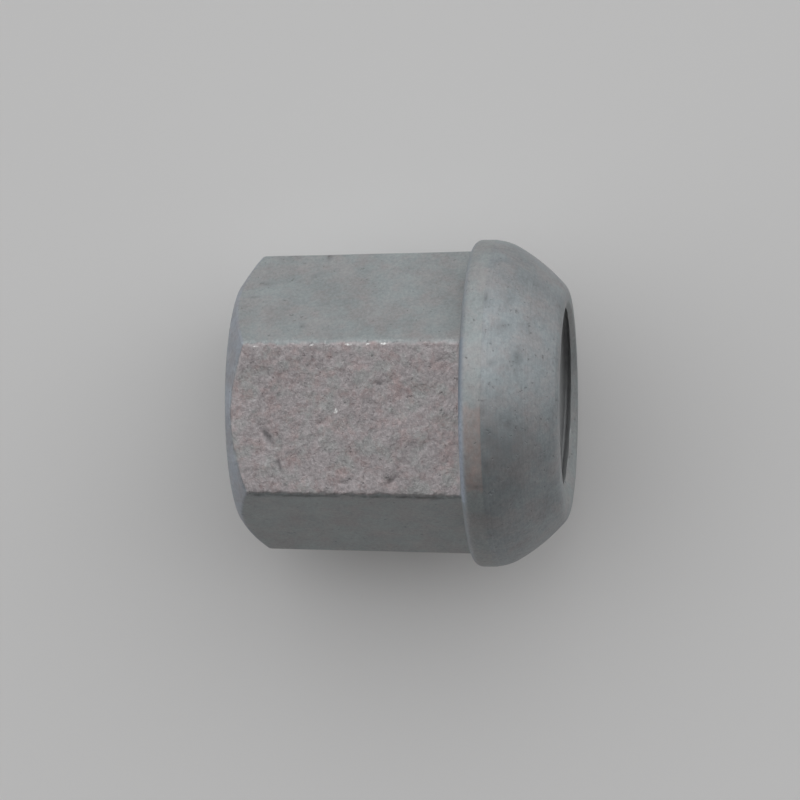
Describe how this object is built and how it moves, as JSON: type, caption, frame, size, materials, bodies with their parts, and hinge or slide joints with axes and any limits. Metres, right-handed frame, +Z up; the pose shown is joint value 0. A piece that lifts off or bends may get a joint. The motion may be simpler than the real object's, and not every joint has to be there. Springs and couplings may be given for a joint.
{
  "type": "lug nut",
  "caption": "Open-ended wheel lug nut with a drafted hex body, a round collar and a ball seat, lying on its side.",
  "frame": {"origin": "on the ground, under the middle of the nut's box as it lies at rest on a flat of the hex and its collar", "axes": "+X along the nut toward its seat, +Z up; the thread's axis lies in the XZ plane and rises 8.30 degrees toward +X"},
  "size_m": [0.0255, 0.0234, 0.0233],
  "materials": {
    "zinc_steel": "zinc coated steel, dull"
  },
  "bodies": {
    "root": {"lug_nut": "zinc_steel"}
  },
  "joints": []
}
